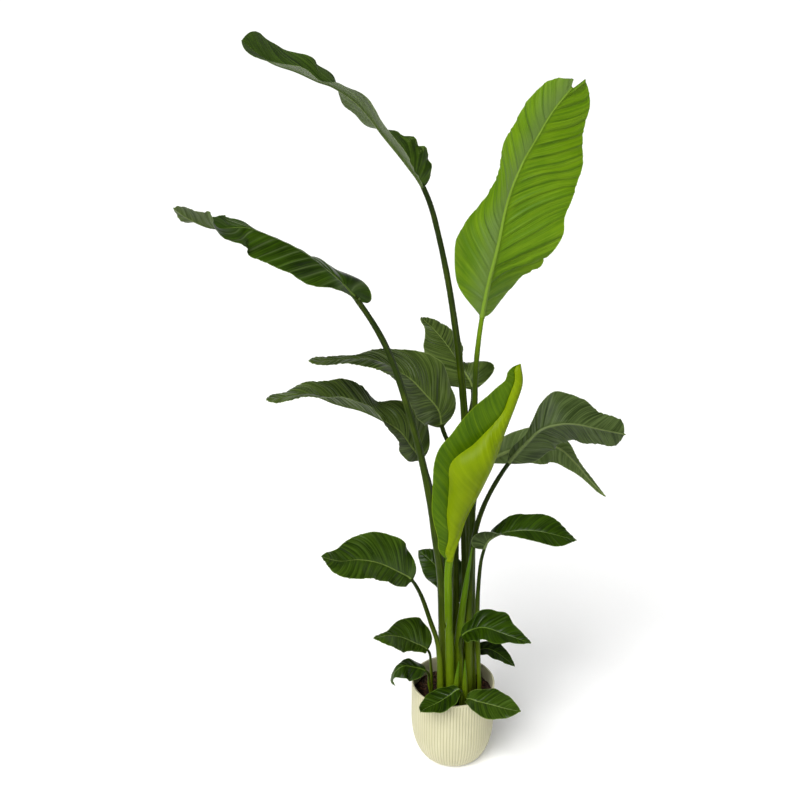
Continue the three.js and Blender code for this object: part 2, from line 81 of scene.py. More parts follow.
# the studio, in metres
FLOOR_REACH = 60.0
FLOOR_GLOW = 0.14         # lifts the floor to the sky's white
SKY_BAND = (0.16, 0.42)   # sines of the heights between which the sky dims
SKY_LIGHT = (1.1, 0.16)   # its strength below and above them
CAMERA_PLACE = (-0.141, -1.9, 1.605)
CAMERA_DOWN = 17.7        # degrees below level
CAMERA_LENS = 37.75       # mm on a 36 mm wide sensor

# random waves, as wavelengths and heights, which are shares of the radius on a petiole
SWELL_WAVES = [(41, 0.45), (19, 0.25), (8.7, 0.1)]
FRINGE_WAVES = [(23, 0.55), (11, 0.25)]
SLOW_WAVES = [(150, 1.0), (83, 0.8)]
STALK_WAVES = [(170, 0.02), (61, 0.012)]
BLADE_SEED, STALK_SEED, SHOOT_SEED, SOIL_SEED = 100, 300, 500, 41

# stalk, rib   points of the petiole's and the midrib's middle lines
# r            the petiole's radius at the soil and at the blade
# wl, wr       widths of the two halves at even steps along the rib
# tl, tr       degrees they are turned from facing the front point
# cl, cr, curl degrees a half curls up between the rib and the margin, -10 where none is given
# wave         height of the margin's waves, with their number in waves and the right's share in wave_r
# ends         shares of the length over which the base and the tip are rounded off
# lober        how far the right half's base reaches back down the petiole
# notchl, notchr  how far beside the tip's notch each half runs on
# tears        dents in a margin (swellings where negative): half, share of the length, depth, spread
# ruffles      folds of a margin: half, first and last share of the length, height, number
# pleat, pitch, slant  this leaf's own values in place of its look's
LEAVES = {
    "high_left": dict(
        stalk=[(38, 28, 125), (40, 25, 560), (16, 25, 940), (-15, 20, 1190), (-52, 5, 1375),
             (-90, -10, 1490)],
        rib=[(-90, -10, 1490), (-130, -20, 1545), (-175, -30, 1598), (-225, -45, 1658),
             (-275, -60, 1692), (-310, -75, 1704), (-350, -90, 1721), (-400, -105, 1738),
             (-451, -120, 1776)],
        wl=[30, 55, 70, 75, 72, 68, 62, 58, 68, 80, 80, 76, 60],
        tl=[-95, -98, -103, -106, -105, -111, -113, -106, -98, -102, -100, -90, -84],
        wr=[50, 66, 72, 64, 60, 58, 52, 62, 74, 78, 79, 80, 80],
        tr=[-38, -36, -45, -62, -98, -107, -106, -65, -54, -58, -58, -59, -58],
        r=(13, 6), curl=[-10], wave=1.2, wave_r=1, waves=7, ends=(0.08, 0.055),
        ruffles=[(1, 0.015, 0.27, 7.5, 3.5), (1, 0.0, 0.22, 3, 6), (-1, 0.02, 0.2, 1.5, 4)],
        pleat=0.2, slant=2.2, pitch=(30, 52),
    ),
    "high_right": dict(
        stalk=[(54, 2, 125), (43, 0, 460), (38, 2, 735), (39, 20, 965), (41, 31, 1080),
             (52, 40, 1190)],
        rib=[(52, 40, 1190), (65, 45, 1265), (85, 50, 1355), (105, 60, 1455), (135, 70, 1535),
             (170, 85, 1595), (205, 105, 1650), (247, 118, 1700)],
        wr=[15, 88, 114, 104, 97, 97, 94, 85, 60],
        tr=[195, 205, 205, 209, 236, 235, 223, 219, 210],
        wl=[60, 88, 112, 145, 141, 142, 132, 101, 50],
        tl=[125, 130, 160, 170, 170, 170, 168, 165, 160],
        r=(12, 5.5), curl=[8], wave=2, waves=5, ends=(0.1, 0.042), notchl=38, notchr=20,
        tears=[(-1, 0.19, 10, 20), (-1, 0.25, -8, 15), (-1, 0.285, 5, 3), (-1, 0.232, 7, 3.5),
             (-1, 0.205, 4, 3)],
    ),
    "upper_left": dict(
        stalk=[(-25, -5, 125), (-32, -18, 470), (-50, -45, 640), (-81, -84, 840),
             (-130, -118, 1040), (-173, -130, 1165), (-233, -130, 1265)],
        rib=[(-233, -130, 1265), (-258, -145, 1298), (-290, -160, 1333), (-340, -175, 1374),
             (-395, -190, 1404), (-445, -205, 1424), (-480, -220, 1425), (-510, -225, 1425),
             (-535, -230, 1434), (-557, -240, 1448), (-577, -245, 1465)],
        wl=[18, 22, 44, 66, 74, 74, 75, 74, 64, 62, 58, 44, 36],
        tl=[-85, -75, -66, -55, -51, -51, -50, -49, -49, -74, -122, -124, -120],
        wr=[34, 54, 52, 66, 75, 80, 80, 70, 50, 58, 46, 38, 32],
        tr=[-38, -42, -72, -78, -93, -97, -97, -94, -71, -57, -62, -100, -98],
        r=(15, 6), wave=1.5, waves=6, ends=(0.06, 0.05), lober=60,
    ),
    "rear": dict(
        stalk=[(38, 60, 125), (31, 54, 430), (20, 70, 705), (20, 90, 865), (40, 100, 995)],
        rib=[(40, 100, 995), (15, 140, 1040), (-15, 180, 1080), (-50, 225, 1115), (-85, 270, 1140)],
        wl=[30, 60, 74, 78, 74, 60, 34, 15, 10],
        tl=[-20, -28, -35, -38, -40, -40, -40, -40, -40],
        wr=[16, 73, 60, 50, 46, 47, 42, 32, 20],
        tr=[-2, -9, -24, -76, -46, -38, -38, -38, -38],
        r=(10, 5), wave=2, waves=4, lober=8, ends=(0.12, 0.1),
    ),
    "mid_left": dict(
        stalk=[(12, 32, 125), (5, 32, 440), (-3, 25, 730), (-15, 10, 855), (-40, 0, 930)],
        rib=[(-40, 0, 930), (-50, -5, 975), (-80, -10, 1015), (-115, -20, 1055),
             (-155, -30, 1085), (-200, -45, 1110), (-250, -60, 1115), (-295, -70, 1115),
             (-345, -80, 1115)],
        wl=[30, 65, 84, 88, 62, 50, 42, 34, 24],
        tl=[-20, -50, -58, -66, -72, -70, -75, -78, -78],
        wr=[30, 73, 104, 100, 92, 75, 50, 38, 28],
        tr=[-25, -35, -36, -43, -64, -72, -79, -68, -70],
        r=(11, 5), wave=3, waves=4, ends=(0.12, 0.06),
    ),
    "outer_left": dict(
        stalk=[(-13, 27, 125), (-20, 20, 385), (-45, 10, 625), (-65, 5, 765), (-90, 0, 845)],
        rib=[(-90, 0, 845), (-115, -10, 886), (-142, -15, 925), (-180, -30, 957),
             (-230, -40, 985), (-290, -50, 1005), (-345, -60, 1030), (-390, -70, 1030),
             (-445, -80, 1025)],
        wl=[18, 52, 55, 62, 68, 70, 55, 40, 25],
        tl=[-30, -62, -68, -90, -108, -110, -95, -80, -75],
        wr=[60, 92, 78, 77, 92, 84, 66, 58, 34],
        tr=[-20, -34, -28, -60, -43, -41, -56, -70, -72],
        r=(10, 5), wave=2.5, waves=5, ends=(0.12, 0.06),
    ),
    "mid_right": dict(
        stalk=[(42, -24, 125), (36, -24, 460), (40, -22, 620), (64, -25, 735), (120, -30, 850)],
        rib=[(120, -30, 850), (160, -30, 900), (195, -30, 935), (240, -35, 950), (280, -40, 950),
             (330, -45, 940), (386, -50, 930)],
        wl=[30, 52, 72, 80, 85, 85, 85, 84, 80, 74, 66, 56, 42],
        tl=[145, 138, 132, 133, 135, 128, 122, 121, 121, 123, 126, 128, 130],
        wr=[15, 20, 22, 20, 30, 64, 83, 82, 76, 63, 54, 48, 46],
        tr=[200, 205, 210, 208, 205, 200, 198, 207, 215, 220, 222, 222, 220],
        r=(11, 5), wave=2.5, waves=5, ends=(0.1, 0.03), curl=[0],
    ),
    "rear_right": dict(
        stalk=[(60, 48, 125), (46, 48, 435), (45, 62, 600), (54, 75, 735), (85, 85, 805)],
        rib=[(85, 85, 805), (145, 90, 838), (205, 95, 853), (262, 95, 840), (306, 95, 801),
             (345, 90, 756), (387, 80, 713)],
        wl=[20, 37, 55, 53, 30, 13, 7],
        tl=[150, 150, 155, 155, 150, 145, 140],
        wr=[22, 42, 46, 40, 18, 12, 5],
        tr=[205, 205, 210, 215, 225, 235, 240],
        r=(10, 5), wave=2, waves=4, ends=(0.12, 0.08),
    ),
    "low_right": dict(
        stalk=[(72, -14, 125), (58, -20, 410), (58, -32, 550), (67, -40, 625)],
        rib=[(67, -40, 625), (76, -45, 651), (100, -50, 670), (140, -60, 685), (185, -70, 690),
             (230, -80, 685), (280, -90, 675)],
        wl=[8, 28, 44, 52, 52, 38, 8],
        tl=[120, 50, 32, 36, 30, 35, 50],
        wr=[36, 38, 22, 32, 48, 42, 8],
        tr=[190, 140, 70, 60, 60, 60, 60],
        r=(8, 4), wave=2, waves=3, ends=(0.12, 0.08), lober=22,
    ),
    "low_left": dict(
        stalk=[(-35, -40, 125), (-40, -42, 325), (-63, -53, 425), (-112, -80, 562)],
        rib=[(-112, -80, 562), (-143, -100, 595), (-190, -120, 630), (-235, -140, 650),
             (-280, -165, 660), (-320, -190, 685)],
        wl=[22, 38, 50, 60, 50, 8],
        tl=[-30, -40, -50, -50, -45, -45],
        wr=[42, 72, 77, 62, 33, 8],
        tr=[-15, -14, -15, -16, -22, -35],
        r=(10, 4), wave=3, waves=4, ends=(0.12, 0.08),
    ),
    "rear_low": dict(
        stalk=[(8, 66, 125), (12, 70, 300), (15, 90, 395)],
        rib=[(15, 90, 395), (-15, 110, 455), (-50, 135, 490), (-90, 160, 515)],
        wl=[26, 34, 42, 8],
        tl=[-20],
        wr=[30, 65, 60, 8],
        tr=[-20],
        r=(8, 4), wave=3, waves=3, ends=(0.12, 0.08),
    ),
    "base_left": dict(
        stalk=[(-54, -2, 125), (-54, -6, 170), (-60, -22, 270), (-70, -45, 340)],
        rib=[(-70, -45, 340), (-105, -65, 375), (-140, -85, 405), (-175, -110, 425),
             (-205, -130, 430)],
        wl=[16, 24, 40, 52, 6],
        tl=[-40, -50, -50, -50, -50],
        wr=[40, 64, 50, 15, 6],
        tr=[-15, -12, -25, -35, -40],
        r=(6, 3), wave=3, waves=3, ends=(0.12, 0.08),
    ),
    "rim_left": dict(
        stalk=[(-56, -30, 125), (-58, -33, 180), (-66, -48, 240), (-75, -70, 295)],
        rib=[(-75, -70, 295), (-105, -75, 310), (-133, -85, 320), (-155, -90, 304),
             (-163, -95, 285), (-155, -95, 270)],
        wl=[14, 30, 38, 31, 12, 5],
        tl=[-20, -20, -20, -40, -60, -60],
        wr=[14, 24, 24, 13, 8, 5],
        tr=[-50, -45, -45, -45, -60, -60],
        r=(5, 3), wave=2, waves=3,
    ),
    "base_right": dict(
        stalk=[(17, -42, 125), (17, -44, 235), (17, -50, 310), (15, -60, 390)],
        rib=[(15, -60, 390), (40, -75, 420), (70, -90, 435), (110, -115, 435), (145, -130, 430),
             (175, -150, 430)],
        wl=[10, 32, 54, 53, 25, 5],
        tl=[20, 25, 25, 25, 30, 40],
        wr=[22, 34, 46, 44, 22, 5],
        tr=[40, 45, 50, 55, 55, 50],
        r=(7, 3.5), wave=3, waves=4, ends=(0.12, 0.08),
    ),
    "rim_right": dict(
        stalk=[(61, 21, 125), (61, 21, 180), (60, 24, 240), (65, 30, 285)],
        rib=[(65, 30, 285), (90, 20, 300), (115, 10, 295), (140, 0, 280), (160, -15, 270)],
        wl=[14, 26, 30, 18, 4],
        tl=[30],
        wr=[14, 23, 25, 16, 4],
        tr=[50],
        r=(5, 3), wave=2, waves=3, ends=(0.12, 0.08),
    ),
    "front_left": dict(
        stalk=[(13, -82, 125), (14, -82, 190), (10, -85, 250)],
        rib=[(10, -85, 250), (-15, -95, 240), (-45, -110, 230), (-75, -125, 225), (-90, -140, 225)],
        wl=[20, 32, 35, 24, 5],
        tl=[-45],
        wr=[15, 30, 38, 28, 5],
        tr=[-30],
        r=(7, 3.5), wave=2, waves=3, ends=(0.12, 0.08),
    ),
    "front_right": dict(
        stalk=[(34, -86, 125), (34, -86, 170), (30, -92, 226)],
        rib=[(30, -92, 226), (58, -108, 231), (92, -128, 236), (127, -143, 236), (157, -158, 241)],
        wl=[24, 43, 47, 34, 5],
        tl=[30],
        wr=[24, 42, 45, 30, 5],
        tr=[75, 62, 45, 40, 40],
        r=(7, 3.5), wave=2, waves=3, ends=(0.12, 0.08),
    ),
    "young": dict(
        stalk=[(-5, -35, 125), (-12, -40, 300), (-20, -60, 490), (-20, -75, 615)],
        rib=[(-20, -75, 615), (-5, -80, 670), (12, -80, 730), (48, -80, 805), (78, -85, 880),
             (99, -80, 945), (124, -75, 1015), (137, -70, 1062), (132, -62, 1104)],
        wl=[28, 52, 90, 120, 130, 113, 89, 56, 32],
        tl=[-10, -15, -20, -20, -15, -15, -20, -25, -30],
        wr=[22, 33, 72, 112, 140, 82, 36, 32, 24],
        tr=[70],
        r=(12, 9), cr=[150], cl=[0], wave=0, waves=3, ends=(0.06, 0.03),
    ),
}
SHOOTS = {
    "spear": dict(
        line=[(8, -10, 125), (10, -14, 300), (16, -28, 430), (26, -45, 550), (35, -58, 640)],
        r=[10, 11.5, 12, 9.5, 6.5, 1],
    ),
    "shoot_left": dict(
        line=[(3, -62, 125), (4, -62, 190), (5, -65, 260), (9, -70, 325)], r=[7, 8, 8, 5.5, 1]
    ),
    "shoot_right": dict(
        line=[(27, -62, 125), (27, -62, 190), (26, -64, 260), (24, -66, 325)],
        r=[6, 7.5, 7.5, 5, 1],
    ),
}


# ---- lines and frames
def spline(values, x, before=None, after=None):
    """Smooth curve through values at even steps, read at x from 0 to 1."""
    v = np.asarray(values, float)
    x = np.asarray(x, float)
    if len(v) == 1:
        return np.repeat(v, len(x), axis=0)
    t = x * (len(v) - 1)
    i = np.minimum(t.astype(int), len(v) - 2)
    f = t - i
    if v.ndim > 1:
        f = f[:, None]
    first = 2 * v[0] - v[1] if before is None else before
    last = 2 * v[-1] - v[-2] if after is None else after
    q = np.concatenate([[first], v, [last]])
    a, b, c, d = q[i], q[i + 1], q[i + 2], q[i + 3]
    return 0.5 * (
        2 * b + (c - a) * f + (2 * a - 5 * b + 4 * c - d) * f**2 + (3 * b - a - 3 * c + d) * f**3
    )


def run_along(points):
    """Distance from the first point to each, along the line through them."""
    return np.r_[0, np.cumsum(np.linalg.norm(np.diff(points, axis=0), axis=1))]


def read_line(points, run, at):
    return np.stack([np.interp(at, run, points[:, k]) for k in range(3)], axis=1)


def even_line(points, count, before=None, after=None):
    """count + 1 evenly spaced points on the curve through points, and its length."""
    fine = spline(points, np.linspace(0, 1, 2001), before, after)
    run = run_along(fine)
    return read_line(fine, run, np.linspace(0, run[-1], count + 1)), run[-1]


def unit(v):
    return v / np.maximum(np.linalg.norm(v, axis=-1, keepdims=True), 1e-12)


def joint(leaf):
    """Ghost points that make the petiole run into the midrib without a kink."""
    a, b = np.asarray(leaf["stalk"], float), np.asarray(leaf["rib"], float)
    along = unit(unit(a[-1] - a[-2]) + unit(b[1] - b[0]))
    after = a[-2] + 2 * along * np.linalg.norm(a[-1] - a[-2])
    before = b[1] - 2 * along * np.linalg.norm(b[1] - b[0])
    return before, after


def smooth(x):
    x = np.clip(x, 0, 1)
    return x * x * (3 - 2 * x)


def waves_1d(x, rng, sizes):
    """A smooth random line: sines of the given wavelengths with jittered phase."""
    out = np.zeros_like(x)
    for size, height in sizes:
        bend = 0.6 * np.sin(x / (3.1 * size) * 2 * np.pi + rng.uniform(0, 7))
        out += height * np.sin(x / size * 2 * np.pi + bend * 2 + rng.uniform(0, 7))
    return out


def circle(count):
    """count even angles, once round."""
    return 2 * math.pi * np.arange(count) / count


# ---- meshes
def triples(x, y, z=0.0):
    """x, y and z of every point, broadcast together, as rows of three."""
    return np.stack(np.broadcast_arrays(x, y, z), axis=-1).reshape(-1, 3)


def grid_faces(rows, cols, start=0, wrap=False, flip=False):
    i, j = np.meshgrid(np.arange(rows - 1), np.arange(cols if wrap else cols - 1), indexing="ij")
    k = (j + 1) % cols
    a, b = start + i * cols + j, start + i * cols + k
    c, d = start + (i + 1) * cols + k, start + (i + 1) * cols + j
    quad = np.stack([a, b, c, d], axis=-1).reshape(-1, 4)
    return quad[:, ::-1] if flip else quad


def tube_faces(rows, cols):
    """Faces of a tube of rings with a cap at both ends."""
    faces = [tuple(f) for f in grid_faces(rows, cols, wrap=True)]
    return faces + [tuple(range(cols))[::-1], tuple((rows - 1) * cols + np.arange(cols))]


def add_object(name, data):
    obj = bpy.data.objects.new(name, data)
    bpy.context.scene.collection.objects.link(obj)
    return obj


def piece(name, points, faces, node, materials, fields, index=None, crease=50):
    """A mesh from points in mm that stands for a CAD node and rides with the plant."""
    mesh = bpy.data.meshes.new(name)
    mesh.from_pydata((points * MM).tolist(), [], faces)
    for material in materials:
        mesh.materials.append(material)
    if index is not None:
        mesh.polygons.foreach_set("material_index", np.asarray(index, np.int32))
    for key, values in fields.items():
        attribute = mesh.attributes.new(key, "FLOAT_VECTOR", "POINT")
        attribute.data.foreach_set("vector", np.asarray(values, np.float32).ravel())
    mesh.polygons.foreach_set("use_smooth", np.ones(len(mesh.polygons), bool))
    mesh.set_sharp_from_angle(angle=math.radians(crease))
    mesh.validate()
    mesh.update()
    obj = add_object(name, mesh)
    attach(obj, "root")
    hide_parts(node)


# ---- blades
class Blade:
    """The blade's middle surface, read at any place along and across."""

    def __init__(self, leaf):
        self.leaf = leaf
        self.mid, self.length = even_line(leaf["rib"], SAMPLES, joint(leaf)[0])
        u = np.linspace(0, 1, SAMPLES + 1)
        self.along = unit(np.gradient(self.mid, axis=0))
        self.side = unit(np.cross(self.along, FRONT_POINT - self.mid))
        self.front = np.cross(self.side, self.along)
        base, tip = leaf.get("ends", (0.12, 0.2))
        x, y = np.clip(u / base, 0, 1), np.clip((1 - u) / tip, 0, 1)
        self.round = np.sqrt(1 - (1 - x) ** 2) * np.sqrt(1 - (1 - y) ** 2)
        self.rib = 1.2 + (leaf["r"][1] - 1.2) * (1 - u) ** 1.6
        self.width, self.turn = {}, {}
        for s, w, t in ((1, "wr", "tr"), (-1, "wl", "tl")):
            width = spline(leaf[w], u) * self.round
            for half, at, depth, size in leaf.get("tears", ()):
                if half == s:
                    width = width - depth * np.exp(-(((u - at) * self.length / size) ** 2))
            self.width[s] = np.maximum(width, self.rib * 1.02)
            self.turn[s] = np.radians(spline(leaf[t], u))
        self.reach = max(self.width[1].max(), self.width[-1].max())

    @staticmethod
    def read(table, u):
        t = np.clip(u, 0, 1) * SAMPLES
        i = np.minimum(t.astype(int), SAMPLES - 1)
        f = t - i
        if table.ndim > 1:
            f = f[..., None]
        return table[i] * (1 - f) + table[i + 1] * f

    def at(self, s, u, v):
        """Points of the half s (1 right, -1 left) at u along the rib and v out to the margin."""
        leaf = self.leaf
        curl = math.radians(leaf.get("cr" if s > 0 else "cl", leaf.get("curl", [-10]))[0]) * s
        side, front = self.read(self.side, u), self.read(self.front, u)
        along, width = self.read(self.along, u), self.read(self.width[s], u)
        turn = self.read(self.turn[s], u)
        end = turn + curl * v
        if abs(curl) < 1e-4:
            out, up = np.cos(turn) * v, np.sin(turn) * v
        else:
            out, up = (np.sin(end) - np.sin(turn)) / curl, (np.cos(turn) - np.cos(end)) / curl
        q = self.read(self.mid, u) + (s * width)[..., None] * (
            side * out[..., None] + front * up[..., None]
        )
        normal = front * np.cos(end)[..., None] - side * np.sin(end)[..., None]
        height = leaf["wave"] * (leaf.get("wave_r", 1) if s > 0 else 1)
        ripple = np.sin(2 * np.pi * leaf["waves"] * u + (1.7 if s > 0 else 0))
        ripple = height * ripple * v**2 * np.minimum(1, width / (0.5 * self.reach))
        for half, first, last, size, count in leaf.get("ruffles", ()):
            if half == s:
                x = np.clip((u - first) / (last - first), 0, 1)
                ripple = ripple + size * np.sin(2 * np.pi * count * x) * np.sin(np.pi * x) * v**2.5
        lobe = leaf.get("lober", 0) if s > 0 else 0
        notch = leaf.get("notchr" if s > 0 else "notchl", 0)
        move = notch * np.minimum(1, v * width / NOTCH_HALF) ** 1.5
        move = move * np.maximum(0, 1 - (1 - u) / 0.15) ** 2
        move = move - lobe * v**2 * np.maximum(0, 1 - u / 0.22) * self.read(self.round, u)
        return q + normal * ripple[..., None] + along * move[..., None]


def blade_rows(length):
    """Rows along the midrib, closer together at both rounded ends."""
    end = 0.03 * (np.arange(14) / 14) ** 2
    return np.r_[end, np.linspace(0.03, 0.97, max(24, round(length / ROW_STEP))), 1 - end[::-1]]


def blade_grid(blade, s, slant_share):
    """Points of the middle surface, row by row along the veins, and where each lies on the blade."""
    outer = np.linspace(0, 1, MARGIN_COLUMNS[0 if blade.reach >= LARGE_REACH else 1])[1:]
    half = len(RIB_COLUMNS) - 1 + len(outer)
    mid = np.zeros((len(s), 2 * half + 1, 3))
    u_at, v_at, wide = (np.zeros(mid.shape[:2]) for _ in range(3))
    for sign in (1, -1):
        width, rib = blade.read(blade.width[sign], s), blade.read(blade.rib, s)
        fit = np.minimum(1, 0.6 * width / (RIB_COLUMNS[-1] * rib))
        inner = RIB_COLUMNS[None] * (rib * fit)[:, None]
        past = inner[:, -1:] + (width[:, None] - inner[:, -1:]) * outer[None]
        v = np.concatenate([inner, past], axis=1) / width[:, None]
        # the veins leave the rib at a slant and bend on toward the tip
        slant = (width / blade.length)[:, None] * (0.72 * v + 0.18 * v**3)
        slant = slant * slant_share
        slant = slant * smooth(s / 0.15)[:, None]
        left = np.maximum(1 - s, 1e-5)[:, None]
        u = s[:, None] + left * (1 - np.exp(-slant / left))
        columns = half + sign * np.arange(half + 1)
        mid[:, columns] = blade.at(sign, u, v)
        u_at[:, columns], v_at[:, columns] = u, v
        wide[:, columns] = blade.read(blade.width[sign], u)
    return mid, u_at, v_at, wide


def blade_relief(blade, leaf, look, along_mm, v_at, rng):
    """Height of the pleats between the side veins, a slow swell and a crinkled margin."""
    half = v_at.shape[1] // 2
    relief, crease = np.zeros(v_at.shape), np.zeros(v_at.shape)
    size = min(1.0, blade.reach / 80)
    scale = size * leaf.get("pleat", 1.0)
    for side in (1, -1):
        pitch = leaf.get("pitch", look["pitch"])
        at = np.cumsum(rng.uniform(*pitch, CREASES)) * (0.55 + 0.45 * size)
        deep = rng.uniform(0.25, 1.0, CREASES)
        near = (deep * np.exp(-np.abs(along_mm[:, None] - at[None]) / 1.8)).sum(1)
        swell = waves_1d(along_mm, rng, SWELL_WAVES)
        panel = np.clip(np.searchsorted(at, along_mm) - 1, 0, len(at) - 2)
        part = np.clip((along_mm - at[panel]) / (at[panel + 1] - at[panel]), 0, 1)
        swell += (0.6 + deep[panel]) * np.minimum(part, (1 - part) * 5) * 1.3
        columns = half + side * np.arange(1, half + 1)
        v = v_at[:, columns]
        reach = smooth(v / 0.15) * (1 - 0.45 * v**3)
        h = (-0.7 * near + swell)[:, None] * reach * look["pleat"] * scale
        fringe = waves_1d(along_mm, rng, FRINGE_WAVES)
        h += fringe[:, None] * v**5 * scale * look["fringe"]
        slow = waves_1d(along_mm, rng, SLOW_WAVES)
        lag = np.sin(along_mm / 47 + rng.uniform(0, 7))
        h += slow[:, None] * np.sin(np.pi * np.clip(v + 0.15 * lag[:, None], 0, 1.2)) * 1.1 * scale
        relief[:, columns] = h
        # where the creases lie: the leaf materials paint shade into them
        crease[:, columns] = np.clip(near, 0, 1)[:, None] * reach
    return relief, crease


def surface_normal(mid):
    return unit(np.cross(np.gradient(mid, axis=1), np.gradient(mid, axis=0)))


def blade_faces(rows, cols):
    """Upper side, under side and the wall between them, and each face's material."""
    n = rows * cols
    upper, under = grid_faces(rows, cols), grid_faces(rows, cols, n, flip=True)
    wall = []
    for first, step, count, flip in (
        (0, cols, rows - 1, False), (cols - 1, cols, rows - 1, True),
        (0, 1, cols - 1, True), ((rows - 1) * cols, 1, cols - 1, False),
    ):
        a = first + step * np.arange(count)
        quad = np.stack([a, a + step, a + step + n, a + n], axis=-1)
        wall.append(quad[:, ::-1] if flip else quad)
    index = np.r_[np.zeros(len(upper)), np.ones(len(under)), np.zeros(sum(map(len, wall)))]
    return np.concatenate([upper, under, *wall]).tolist(), index


def build_blade(name, leaf, look, seed):
    rng = np.random.default_rng(seed)
    blade = Blade(leaf)
    s = blade_rows(blade.length)
    mid, u_at, v_at, wide = blade_grid(blade, s, leaf.get("slant", look["slant"]))
    along_mm = s * blade.length
    relief, crease = blade_relief(blade, leaf, look, along_mm, v_at, rng)
    mid = mid + surface_normal(mid) * relief[..., None]
    normal = surface_normal(mid)
    rib = blade.read(blade.rib, u_at)
    q = v_at * wide / rib
    thick = BLADE_THICKNESS * (1 - 0.4 * smooth((v_at - 0.9) / 0.1))
    ridge = np.sqrt(np.clip(1 - (q / 1.02) ** 2, 0, 1)) * 0.95 + 0.22 * np.exp(-(((q - 1.0) / 0.3) ** 2))
    start = smooth(u_at / 0.05)
    groove = -0.34 * np.exp(-((q / 0.62) ** 2)) * start + 0.42 * (1 - start) * np.exp(-((q / 0.8) ** 2))
    top = mid + normal * (thick / 2 + rib * groove)[..., None]
    low = mid - normal * (thick / 2 + rib * ridge)[..., None]
    faces, index = blade_faces(*q.shape)
    side = np.sign(np.arange(q.shape[1]) - q.shape[1] // 2)
    place = triples(along_mm[:, None], side[None] * v_at * wide, (1 - v_at) * wide)
    detail = triples(q, crease, u_at)
    piece(
        f"blade_{name}", np.concatenate([top.reshape(-1, 3), low.reshape(-1, 3)]), faces,
        f"leaf_{name}", [look["upper"], look["under"]],
        {"place": np.concatenate([place, place]), "detail": np.concatenate([detail, detail])}, index,
    )


# ---- stalks and shoots
def upper_normal(leaf):
    """The way the blade's upper face looks where it leaves its petiole."""
    blade = Blade(leaf)
    both = [
        blade.front[0] * math.cos(blade.turn[s][0]) - blade.side[0] * math.sin(blade.turn[s][0])
        for s in (1, -1)
    ]
    return unit(both[0] + both[1])


def across_line(line, toward):
    """Two axes across a line at each of its points, the first kept near toward."""
    along = unit(np.gradient(line, axis=0))
    second = unit(toward - along * np.sum(toward * along, axis=1, keepdims=True))
    return second, np.cross(along, second)


def stalk_line(leaf):
    """The petiole's middle line, run on a little into the midrib, with the distance along it."""
    before, after = joint(leaf)
    line, length = even_line(leaf["stalk"], LINE_STEPS, None, after)
    ahead, _ = even_line(leaf["rib"], LINE_STEPS, before)
    line = np.concatenate([line, ahead[1:9]])
    run = run_along(line)
    at = np.linspace(0, run[-1], max(24, round(run[-1] / STALK_STEP)) + 1)
    return read_line(line, run, at), at, length


def build_stalk(name, leaf, look, seed):
    rng = np.random.default_rng(seed)
    line, at, length = stalk_line(leaf)
    u = np.clip(at / length, 0, 1)
    radius = leaf["r"][1] + (leaf["r"][0] - leaf["r"][1]) * (1 - u)
    radius = radius * (1 - 0.3 * smooth((at - length) / (at[-1] - length)))
    inward = CLUMP - np.asarray(leaf["stalk"][0], float)
    inward[2] = 0
    share = smooth((u - 0.15) / 0.85)[:, None]
    channel = unit(inward) * (1 - share) + upper_normal(leaf) * share + 1e-6
    toward, across = across_line(line, channel)
    a = np.linspace(-math.pi, math.pi, STALK_SIDES, endpoint=False)[None]
    low = (1 - smooth((at - SHEATH_START) / SHEATH_FADE))[:, None]
    deep, wide = 0.34 + 0.22 * low, 0.5 + 0.2 * low
    shape = 1 - deep * np.exp(-((a / wide) ** 2))
    shape += 0.10 * np.exp(-(((np.abs(a) - 0.95 - 0.15 * low) / 0.3) ** 2))
    shape += 0.018 * np.sin(a * 9 + rng.uniform(0, 7)) * (1 - 0.5 * low)
    r = radius[:, None] * shape * (1 + waves_1d(at, rng, STALK_WAVES)[:, None])
    points = (
        line[:, None]
        + toward[:, None] * (r * np.cos(a) * (1 - 0.08 * low))[..., None]
        + across[:, None] * (r * np.sin(a) * (1 + 0.10 * low))[..., None]
    )
    piece(
        f"petiole_{name}", points.reshape(-1, 3), tube_faces(len(at), STALK_SIDES),
        f"stalk_{name}", [look["stalk"]],
        {"place": triples(at[:, None], a * radius[:, None], line[:, 2:3]),
         "detail": triples(u[:, None], np.zeros_like(a))},
    )


def build_shoot(name, line, r, material, seed, rolled):
    """A closed shoot: the spear is one blade rolled round itself, with its margin showing."""
    rng = np.random.default_rng(seed)
    points, length = even_line(line, SHOOT_STEPS)
    u = np.linspace(0, 1, SHOOT_STEPS + 1)
    radius = spline(r, u)
    second, third = across_line(points, np.array([[0.3, -1.0, 0.1]]))
    t = np.linspace(0, 1, SHOOT_SIDES + 1)[None]
    start = (-0.9 + (2.6 if rolled else 0.5) * u)[:, None]
    a = start + 2 * math.pi * t
    step = 0.2 if rolled else 0.12
    shape = 1 + step * (t - 0.5) + 0.02 * np.sin(a * 7 + rng.uniform(0, 7))
    shape = shape - 0.05 * np.exp(-((t / 0.05) ** 2)) - 0.03 * np.exp(-(((t - 1) / 0.05) ** 2))
    rr = radius[:, None] * shape
    skin = points[:, None] + second[:, None] * (rr * np.cos(a))[..., None]
    skin = skin + third[:, None] * (rr * np.sin(a))[..., None]
    piece(
        f"{name}_sheath", skin.reshape(-1, 3), tube_faces(SHOOT_STEPS + 1, SHOOT_SIDES + 1),
        name, [material],
        {"place": triples(u[:, None] * length, a * radius[:, None], skin[..., 2]),
         "detail": triples(u[:, None], np.zeros_like(a))}, crease=60,
    )


# ---- pot
def pot_radius(z):
    t = np.clip(np.asarray(z, float) / SHOULDER, 0, 1)
    return FOOT_RADIUS + (POT_RADIUS - FOOT_RADIUS) * np.sqrt(1 - (1 - t) ** 2)


